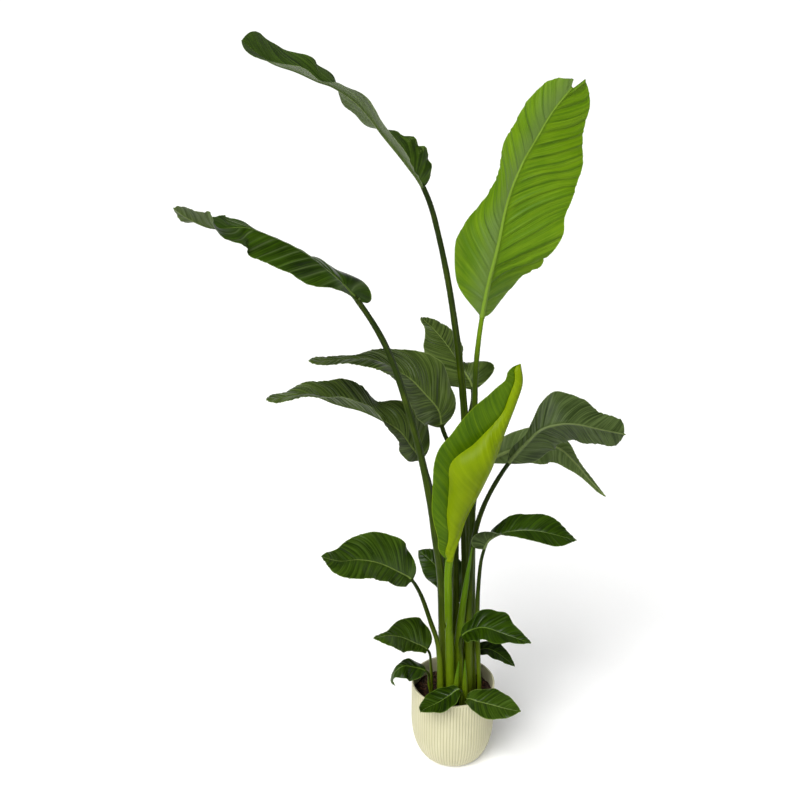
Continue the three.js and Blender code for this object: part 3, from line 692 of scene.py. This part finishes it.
def inner_radius(z):
    return float(pot_radius(max(z - 3, 0.5))) - POT_WALL


def pot_rings():
    """Radius, height and depth of the ribs, from under the foot up and down again inside."""
    rings = []
    for k in (0.02, 0.5, 0.8, 0.84, 0.88, 0.92, 0.97):
        rings.append((FOOT_RADIUS * k, 1.2 - 1.2 * smooth((k - 0.82) / 0.08), 0))
    for angle in np.radians(np.linspace(2, 90, 30)):
        z = SHOULDER * (1 - math.cos(angle))
        rings.append((float(pot_radius(z)), z, smooth((z - 0.6) / 7)))
    top = POT_HEIGHT - LIP_HEIGHT
    rings += [(POT_RADIUS, z, 1) for z in np.linspace(SHOULDER, top - 2, 14)[1:]]
    rings += [(POT_RADIUS, top - 0.9, 0.75), (POT_RADIUS, top - 0.3, 0.25), (POT_RADIUS, top, 0)]
    rings += [(POT_RADIUS, POT_HEIGHT - 1.6, 0), (POT_RADIUS - 0.35, POT_HEIGHT - 0.6, 0)]
    rings += [(POT_RADIUS - 1.1, POT_HEIGHT, 0), (POT_RADIUS - POT_WALL + 1.1, POT_HEIGHT, 0)]
    inner = POT_RADIUS - POT_WALL
    rings += [(inner + 0.3, POT_HEIGHT - 0.6, 0), (inner, POT_HEIGHT - 1.6, 0)]
    for z in (200, 185, 170, 150, SHOULDER, 80, 55, 30, 16, POT_FLOOR + 1, POT_FLOOR):
        rings.append((inner_radius(z), z, 0))
    return rings + [(1.0, POT_FLOOR, 0)]


def build_pot(material):
    a = circle(RIB_COUNT * RIB_POINTS)
    x = np.mod(np.arange(len(a)) / RIB_POINTS + 0.5, 1) * 2 - 1
    crest = np.sqrt(np.maximum(1 - (0.96 * x) ** 2, 0))
    valley = (1 - crest) / (1 - crest.min())
    rings = pot_rings()
    r, z, deep = np.array(rings, float).T[:, :, None]
    radius = r - RIB_DEPTH * deep * valley[None]
    # the valleys' depth goes to the material too, which paints shade into the grooves
    piece(
        "pot_ribbed", triples(radius * np.cos(a), radius * np.sin(a), z),
        tube_faces(len(rings), len(a)), "pot", [material],
        {"detail": triples(deep * valley[None], z)}, crease=75,
    )


# ---- soil
GOLDEN = (1 + 5**0.5) / 2
FLAKE_POINTS = unit(np.array([
    (-1, GOLDEN, 0), (1, GOLDEN, 0), (-1, -GOLDEN, 0), (1, -GOLDEN, 0),
    (0, -1, GOLDEN), (0, 1, GOLDEN), (0, -1, -GOLDEN), (0, 1, -GOLDEN),
    (GOLDEN, 0, -1), (GOLDEN, 0, 1), (-GOLDEN, 0, -1), (-GOLDEN, 0, 1),
]))
FLAKE_FACES = [
    (0, 11, 5), (0, 5, 1), (0, 1, 7), (0, 7, 10), (0, 10, 11), (1, 5, 9), (5, 11, 4),
    (11, 10, 2), (10, 7, 6), (7, 1, 8), (3, 9, 4), (3, 4, 2), (3, 2, 6), (3, 6, 8),
    (3, 8, 9), (4, 9, 5), (2, 4, 11), (6, 2, 10), (8, 6, 7), (9, 8, 1),
]


def soil_height(x, y):
    heap = SOIL_HEAP * (0.5 + 0.5 * x / POT_RADIUS)
    return SOIL_LEVEL - 4 + heap + 1.6 * np.sin(x * 0.11 + 1) * np.cos(y * 0.13) + 1.2 * np.sin(
        y * 0.21 - x * 0.07
    )


def bark_flake(rng, wall):
    """One angular flake of bark, lying nearly flat somewhere on the soil."""
    big = rng.random() ** 2.2
    size = np.array([2.2 + 7.5 * big, 1.5 + 3.6 * big, 0.9 + 1.7 * big]) * rng.uniform(0.7, 1.3, 3)
    far = (wall - size[0] - 1.0) * math.sqrt(rng.random())
    turn = rng.uniform(0, 2 * math.pi)
    x, y = far * math.cos(turn), far * math.sin(turn)
    tilt = rng.normal(0, 0.45, 2)
    yaw = rng.uniform(0, 2 * math.pi)
    rot = Matrix.Rotation(yaw, 3, "Z") @ Matrix.Rotation(tilt[0], 3, "X")
    rot = rot @ Matrix.Rotation(tilt[1], 3, "Y")
    shape = FLAKE_POINTS * rng.uniform(0.72, 1.18, (len(FLAKE_POINTS), 1)) * size
    z = soil_height(x, y) - 1.2 + rng.uniform(0, 2.6)
    return shape @ np.array(rot).T + np.array([x, y, z])


def build_soil(material):
    rng = np.random.default_rng(SOIL_SEED)
    a = circle(SOIL_SIDES)
    wall = POT_RADIUS - POT_WALL - CLEARANCE
    rings = []
    for z in (POT_FLOOR + CLEARANCE, 14, 30, 60, SHOULDER):
        r = inner_radius(z) - CLEARANCE
        rings.append(triples(r * np.cos(a), r * np.sin(a), z))
    for share in np.r_[1, np.linspace(0.985, 0.03, 34)]:
        x, y = wall * share * np.cos(a), wall * share * np.sin(a)
        z = soil_height(x, y) + rng.normal(0, 0.9, SOIL_SIDES) * (share < 0.99) - 2.0
        rings.append(triples(x, y, z))
    points = [np.concatenate(rings)]
    faces = tube_faces(len(rings), SOIL_SIDES)
    start = len(points[0])
    tone = [np.full(start, 0.1)]
    for _ in range(BARK_FLAKES):
        points.append(bark_flake(rng, wall))
        faces += [(start + i, start + j, start + k) for i, j, k in FLAKE_FACES]
        tone.append(np.full(len(FLAKE_POINTS), rng.random()))
        start += len(FLAKE_POINTS)
    tone = np.concatenate(tone)
    piece(
        "soil_bark", np.concatenate(points), faces, "soil", [material],
        {"detail": triples(tone, tone * 17.3 % 1)}, crease=28,
    )


# ---- materials
def srgb(r, g, b):
    """Linear colour of a 0-255 screen colour."""
    out = []
    for c in (r / 255, g / 255, b / 255):
        out.append(c / 12.92 if c <= 0.04045 else ((c + 0.055) / 1.055) ** 2.4)
    return (*out, 1.0)


class Shader:
    """Short names for building one material's nodes."""

    def __init__(self, name):
        self.material = bpy.data.materials.new(name)
        self.material.use_nodes = True
        self.tree = self.material.node_tree
        self.tree.nodes.clear()

    def put(self, socket, value):
        if isinstance(value, bpy.types.NodeSocket):
            self.tree.links.new(value, socket)
        else:
            socket.default_value = value

    def node(self, kind, out=0, inputs=(), **settings):
        n = self.tree.nodes.new("ShaderNode" + kind)
        for key, value in settings.items():
            setattr(n, key, value)
        for key, value in dict(inputs).items():
            self.put(n.inputs[key], value)
        return n.outputs[out]

    def field(self, name):
        vector = self.node("Attribute", "Vector", attribute_name=name)
        parts = self.tree.nodes.new("ShaderNodeSeparateXYZ")
        self.put(parts.inputs[0], vector)
        return list(parts.outputs)

    def join(self, x, y, z):
        return self.node("CombineXYZ", inputs={0: x, 1: y, 2: z})

    def math(self, operation, a, b=0.0, clamp=False):
        return self.node("Math", inputs={0: a, 1: b}, operation=operation, use_clamp=clamp)

    def times(self, a, b):
        return self.math("MULTIPLY", a, b)

    def plus(self, a, b):
        return self.math("ADD", a, b)

    def between(self, value, low, high, to_low=0.0, to_high=1.0):
        return self.node(
            "MapRange", inputs={0: value, 1: low, 2: high, 3: to_low, 4: to_high},
            interpolation_type="SMOOTHSTEP",
        )

    def noise(self, vector, scale=1.0, detail=2.0, rough=0.5):
        return self.node(
            "TexNoise", "Fac",
            {"Vector": vector, "Scale": scale, "Detail": detail, "Roughness": rough},
        )

    def blend(self, share, a, b, kind="MIX"):
        n = self.tree.nodes.new("ShaderNodeMix")
        n.data_type, n.blend_type = "RGBA", kind
        for key, value in ((0, share), (6, a), (7, b)):
            self.put(n.inputs[key], value)
        return n.outputs[2]

    def bump(self, height, distance, strength=1.0):
        return self.node(
            "Bump", inputs={"Height": height, "Distance": distance, "Strength": strength}
        )

    def finish(self, colour, roughness, normal, specular=0.5, through=None, glow=0.0):
        inputs = {
            "Base Color": colour, "Roughness": roughness, "Normal": normal,
            "Specular IOR Level": specular, "Emission Strength": glow,
        }
        surface = self.node("BsdfPrincipled", inputs=inputs)
        if through:
            share, tint = through
            behind = self.node("BsdfTranslucent", inputs={"Color": tint, "Normal": normal})
            surface = self.node("MixShader", inputs={0: share, 1: surface, 2: behind})
        output = self.tree.nodes.new("ShaderNodeOutputMaterial")
        self.tree.links.new(surface, output.inputs["Surface"])
        return self.material


def leaf_material(name, dark, light, vein, rib, rough, specular, through, seed, fine=1.0,
                  rib_at=(0.65, 0.35), crease_shade_and_vein=None, crease_shade_and_vein_share=0.5, painted_sheen=None):
    m = Shader(name)
    s, d, edge = m.field("place")
    q, crease, u = m.field("detail")
    out = m.math("ABSOLUTE", d)
    threads = m.noise(m.join(m.times(s, 0.42), m.times(out, 0.012), seed), detail=1.0)
    cords = m.noise(m.join(m.times(s, 0.13), m.times(out, 0.006), seed + 5.0), detail=1.0)
    cloud = m.noise(m.join(m.times(s, 0.016), m.times(d, 0.016), seed + 9.0), detail=3.0)
    grain = m.noise(m.join(m.times(s, 0.9), m.times(d, 0.9), seed + 2.0), detail=2.0)
    share = m.plus(
        m.between(threads, 0.36, 0.64, -0.16 * fine, 0.16 * fine),
        m.between(cords, 0.36, 0.64, -0.24 * fine, 0.24 * fine),
    )
    share = m.plus(share, m.times(m.plus(cloud, -0.5), 1.5))
    share = m.plus(share, m.times(m.plus(grain, -0.5), 0.18))
    colour = m.blend(m.math("ADD", share, 0.5, True), dark, light)
    lines = m.times(m.between(threads, 0.58, 0.72), 0.28 * fine)
    colour = m.blend(lines, colour, vein)
    # painted shade: the pleats' creases are darkened toward the crease colour; on the banded upper side
    # that colour is a pale vein tone instead, and where none is given it is the vein colour
    colour = m.blend(m.times(crease, crease_shade_and_vein_share), colour, crease_shade_and_vein or vein)
    # painted sheen: a grey-green veil of reflected sky, laid into the colour beside the midrib on one half
    if painted_sheen:
        beside = m.times(m.between(d, *painted_sheen[1]), m.between(d, 1.0, 4.0))
        colour = m.blend(m.times(beside, 0.75), colour, painted_sheen[0])
    ribbed = m.between(q, *rib_at)
    colour = m.blend(m.times(ribbed, 0.85), colour, rib)
    margin = m.times(m.between(edge, 2.4, 0.8), m.between(u, 0.01, 0.04))
    colour = m.blend(m.times(margin, 0.8), colour, m.blend(0.5, vein, rib))
    height = m.plus(m.times(threads, 0.5 * fine), m.times(cords, 0.8 * fine))
    height = m.plus(height, m.times(grain, 0.12))
    height = m.times(height, m.between(ribbed, 0.0, 1.0, 1.0, 0.15))
    normal = m.bump(height, 0.0009, 0.8)
    roughness = m.plus(m.times(m.plus(cloud, -0.5), 0.22), rough)
    glow = m.blend(1.0, colour, (1.0, 1.0, 0.45, 1.0), "MULTIPLY")
    return m.finish(colour, roughness, normal, specular, (through, glow))


def stalk_material(name, foot, middle, top, rough, seed, top_from=0.55):
    m = Shader(name)
    s, a, z = m.field("place")
    u, _, _ = m.field("detail")
    fibres = m.noise(m.join(m.times(s, 0.006), m.times(a, 0.75), seed), detail=2.0)
    cloud = m.noise(m.join(m.times(s, 0.02), m.times(a, 0.05), seed + 4.0), detail=3.0)
    colour = m.blend(m.between(z, 200.0, 520.0), foot, middle)
    colour = m.blend(m.between(u, top_from, 1.0), colour, top)
    dim = m.blend(1.0, colour, (0.42, 0.46, 0.4, 1.0), "MULTIPLY")
    pale = m.blend(0.3, colour, srgb(124, 144, 24))
    share = m.plus(m.times(m.plus(fibres, -0.5), 1.5), m.times(m.plus(cloud, -0.5), 1.2))
    colour = m.blend(m.math("MULTIPLY", share, 1.0, True), colour, pale)
    colour = m.blend(m.math("MULTIPLY", share, -1.0, True), colour, dim)
    colour = m.blend(m.times(m.between(z, 235.0, 175.0), 0.45), colour, srgb(46, 40, 16))
    normal = m.bump(m.plus(fibres, m.times(cloud, 0.4)), 0.0006, 0.55)
    return m.finish(colour, rough, normal, 0.09)


def pot_material():
    m = Shader("cream_plastic")
    deep, z, _ = m.field("detail")
    spot = m.node("TexCoord", "Object")
    speck = m.noise(spot, 900.0, 2.0)
    cloud = m.noise(spot, 14.0, 3.0)
    colour = m.blend(m.between(cloud, 0.3, 0.7), srgb(180, 176, 144), srgb(188, 184, 152))
    # painted shade in the grooves between the ribs
    colour = m.blend(m.times(deep, 0.6), colour, srgb(134, 130, 96))
    # darker towards the foot
    colour = m.blend(m.times(m.between(z, 16.0, 0.0), 0.35), colour, srgb(146, 142, 108))
    normal = m.bump(speck, 0.00012, 0.5)
    return m.finish(colour, m.plus(m.times(cloud, 0.12), 0.42), normal, 0.4)


def soil_material():
    m = Shader("bark_compost")
    tone, other, _ = m.field("detail")
    spot = m.node("TexCoord", "Object")
    grain = m.noise(spot, 420.0, 4.0, 0.6)
    dark = m.blend(other, srgb(34, 24, 16), srgb(66, 46, 32))
    bark = m.blend(other, srgb(92, 56, 36), srgb(118, 84, 58))
    colour = m.blend(m.between(tone, 0.62, 0.95), dark, bark)
    colour = m.blend(m.between(grain, 0.35, 0.75), colour, m.blend(0.6, colour, srgb(20, 14, 10)))
    normal = m.bump(grain, 0.0012, 0.8)
    return m.finish(colour, 0.85, normal, 0.25)


GREEN_STALK = stalk_material("petiole_olive", srgb(80, 98, 6), srgb(42, 58, 0), srgb(24, 38, 0), 0.45, 3.0)
LIME_STALK = stalk_material("petiole_lime", srgb(84, 104, 6), srgb(74, 100, 0), srgb(84, 114, 0), 0.42, 7.0)
HIGH_STALK = stalk_material("petiole_high", srgb(80, 98, 6), srgb(44, 62, 0), srgb(92, 120, 4), 0.45,
                            5.0, 0.86)
SHOOT_SKIN = stalk_material("shoot_green", srgb(82, 102, 6), srgb(66, 92, 0), srgb(62, 96, 0), 0.42, 11.0)

GREEN_PIECES = dict(slot="leaf_green", stalk_slot="stalk_green", stalk=GREEN_STALK)
# leaf_material takes the dark, light, vein and rib colours, the roughness, specular level and share
# of light let through, a seed, and where given the strength of the fine veins
# the crease colours paint shade into the pleats' creases, all but the banded upper side's pale vein tone
LOOKS = {
    "green": dict(
        GREEN_PIECES, pleat=1.3, fringe=1.0, pitch=(13, 27), slant=1.0,
        upper=leaf_material(
            "leaf_green_upper", srgb(24, 42, 2), srgb(58, 82, 14), srgb(84, 106, 40), srgb(112, 132, 58),
            0.31, 0.2, 0.06, 1.0, crease_shade_and_vein=srgb(22, 38, 0), crease_shade_and_vein_share=0.3),
        under=leaf_material(
            "leaf_green_under", srgb(58, 76, 26), srgb(88, 106, 54), srgb(110, 126, 76),
            srgb(108, 124, 66), 0.5, 0.14, 0.06, 21.0, crease_shade_and_vein=srgb(36, 52, 10), crease_shade_and_vein_share=0.75),
    ),
    # painted sheen: the grey look's paler grey-green upper colours stand in for the sky's reflection on
    # leaves that face up
    "grey": dict(
        GREEN_PIECES, pleat=1.2, fringe=1.0, pitch=(9, 17), slant=1.15,
        upper=leaf_material(
            "leaf_grey_upper", srgb(42, 58, 14), srgb(82, 100, 42), srgb(112, 128, 78),
            srgb(116, 134, 66), 0.36, 0.14, 0.06, 91.0, 1.6, crease_shade_and_vein=srgb(24, 38, 2), crease_shade_and_vein_share=0.75),
        under=leaf_material(
            "leaf_grey_under", srgb(48, 64, 18), srgb(82, 98, 46), srgb(108, 122, 76), srgb(100, 116, 62),
            0.5, 0.14, 0.06, 95.0, 1.5, crease_shade_and_vein=srgb(30, 46, 6), crease_shade_and_vein_share=0.7),
    ),
    # painted shade: the deep look is a darker copy of the green look, darkened to stand for shade on the
    # low leaves
    "deep": dict(
        GREEN_PIECES, pleat=1.3, fringe=1.0, pitch=(13, 27), slant=1.0,
        upper=leaf_material(
            "leaf_deep_upper", srgb(16, 32, 0), srgb(44, 68, 2), srgb(66, 92, 22), srgb(86, 110, 34),
            0.31, 0.17, 0.05, 71.0, crease_shade_and_vein=srgb(14, 28, 0), crease_shade_and_vein_share=0.35),
        under=leaf_material(
            "leaf_deep_under", srgb(34, 48, 12), srgb(74, 90, 46), srgb(98, 114, 66), srgb(90, 104, 58),
            0.5, 0.13, 0.05, 81.0, crease_shade_and_vein=srgb(24, 38, 6), crease_shade_and_vein_share=0.65),
    ),
    "banded": dict(
        GREEN_PIECES, pleat=1.0, fringe=1.0, pitch=(18, 34), slant=1.2,
        upper=leaf_material(
            "leaf_banded_upper", srgb(18, 34, 0), srgb(48, 74, 4), srgb(78, 102, 34), srgb(96, 118, 48),
            0.34, 0.14, 0.05, 111.0, crease_shade_and_vein=srgb(104, 122, 74), crease_shade_and_vein_share=0.7),
        under=leaf_material(
            "leaf_banded_under", srgb(50, 66, 22), srgb(82, 98, 50), srgb(110, 124, 78),
            srgb(98, 114, 60), 0.5, 0.14, 0.05, 121.0, crease_shade_and_vein=srgb(34, 50, 10)),
    ),
    # the lime underside carries a painted sheen beside its midrib
    "lime": dict(
        slot="leaf_lime", stalk_slot="stalk_lime", stalk=HIGH_STALK,
        pleat=1.9, fringe=0.7, pitch=(24, 40), slant=1.45,
        upper=leaf_material(
            "leaf_lime_upper", srgb(56, 88, 2), srgb(80, 114, 6), srgb(120, 150, 24), srgb(140, 165, 40),
            0.4, 0.14, 0.25, 31.0, crease_shade_and_vein=srgb(48, 78, 0), crease_shade_and_vein_share=0.7),
        under=leaf_material(
            "leaf_lime_under", srgb(78, 114, 0), srgb(104, 138, 8), srgb(130, 156, 44),
            srgb(116, 146, 44), 0.5, 0.14, 0.25, 41.0, rib_at=(0.85, 0.5), crease_shade_and_vein=srgb(52, 84, 0),
            crease_shade_and_vein_share=0.8, painted_sheen=(srgb(86, 108, 52), (70.0, 6.0))),
    ),
    "young": dict(
        slot="leaf_lime", stalk_slot="stalk_lime", stalk=LIME_STALK,
        pleat=0.3, fringe=0.2, pitch=(13, 27), slant=1.0,
        upper=leaf_material(
            "leaf_young_upper", srgb(58, 90, 0), srgb(78, 110, 0), srgb(112, 142, 14), srgb(120, 145, 20),
            0.42, 0.12, 0.25, 51.0),
        under=leaf_material(
            "leaf_young_under", srgb(112, 136, 0), srgb(130, 152, 0), srgb(142, 162, 10),
            srgb(132, 154, 6), 0.42, 0.1, 0.32, 61.0, 0.4, rib_at=(0.85, 0.5)),
    ),
}

# ---- the plant
# the low leaves take the deep look's painted shade
LOOK_OF = {
    # rear, mid_left and outer_left take the grey look's painted sheen
    "high_right": "lime", "young": "young", "rear": "grey", "mid_left": "grey", "outer_left": "grey",
    "upper_left": "banded", "mid_right": "deep", "low_right": "deep", "base_right": "deep",
    "front_left": "deep", "rear_low": "deep", "rim_left": "deep", "rim_right": "deep",
}
for number, (name, leaf) in enumerate(LEAVES.items()):
    look = LOOKS[LOOK_OF.get(name, "green")]
    build_blade(name, leaf, look, BLADE_SEED + number)
    build_stalk(name, leaf, look, STALK_SEED + number)
for number, (name, shoot) in enumerate(SHOOTS.items()):
    build_shoot(name, shoot["line"], shoot["r"], SHOOT_SKIN, SHOOT_SEED + number, name == "spear")
build_pot(pot_material())
build_soil(soil_material())


# ---- floor, light and camera
def lay_floor():
    mesh = bpy.data.meshes.new("floor")
    corners = [(x * FLOOR_REACH, y * FLOOR_REACH, 0) for x, y in ((-1, -1), (1, -1), (1, 1), (-1, 1))]
    mesh.from_pydata(corners, [], [(0, 1, 2, 3)])
    add_object("floor", mesh)
    paint = Shader("pale_floor")
    spread = paint.noise(paint.node("TexCoord", "Object"), 3.0, 2.0)
    colour = paint.blend(spread, (0.9, 0.9, 0.895, 1), (0.92, 0.92, 0.915, 1))
    normal = paint.bump(spread, 0.0002, 0.2)
    mesh.materials.append(paint.finish(colour, 0.7, normal, 0.1, glow=FLOOR_GLOW))


def light_world():
    """A white sky that is dimmer higher up."""
    world = bpy.data.worlds.new("studio")
    bpy.context.scene.world = world
    world.use_nodes = True
    tree = world.node_tree
    tree.nodes.clear()
    coordinate = tree.nodes.new("ShaderNodeTexCoord")
    parts = tree.nodes.new("ShaderNodeSeparateXYZ")
    ramp = tree.nodes.new("ShaderNodeMapRange")
    ramp.interpolation_type = "SMOOTHSTEP"
    for socket, value in zip(list(ramp.inputs)[1:5], (*SKY_BAND, *SKY_LIGHT)):
        socket.default_value = value
    backdrop = tree.nodes.new("ShaderNodeBackground")
    backdrop.inputs["Color"].default_value = (1.0, 1.0, 1.0, 1.0)
    world_out = tree.nodes.new("ShaderNodeOutputWorld")
    tree.links.new(coordinate.outputs["Generated"], parts.inputs[0])
    tree.links.new(parts.outputs["Z"], ramp.inputs[0])
    tree.links.new(ramp.outputs[0], backdrop.inputs["Strength"])
    tree.links.new(backdrop.outputs[0], world_out.inputs["Surface"])


def lamp(name, kind, place, target, energy, **settings):
    data = bpy.data.lights.new(name, kind)
    data.energy = energy
    for key, value in settings.items():
        setattr(data, key, value)
    obj = add_object(name, data)
    obj.location = place
    obj.rotation_euler = (Vector(target) - obj.location).to_track_quat("-Z", "Y").to_euler()
    obj.visible_camera = False


def place_camera():
    """The camera stands where the photographer did, by the upper leaves and looking down."""
    data = bpy.data.cameras.new("camera")
    data.lens = CAMERA_LENS
    data.sensor_width = 36.0
    data.clip_start, data.clip_end = 0.05, 200.0
    camera = add_object("camera", data)
    camera.location = CAMERA_PLACE
    camera.rotation_euler = (math.radians(90 - CAMERA_DOWN), 0, 0)
    bpy.context.scene.camera = camera


lay_floor()
light_world()
lamp("sky_panel", "SUN", (-1.7, -2.9, 4.6), (0, 0, 0.8), 3.7, angle=math.radians(40))
lamp("soft_box", "AREA", (-1.9, -2.0, 3.0), (-0.1, 0, 1.1), 25, shape="SQUARE", size=1.6)
place_camera()

scene = bpy.context.scene
scene.view_settings.view_transform = "Standard"
scene.view_settings.look = "None"
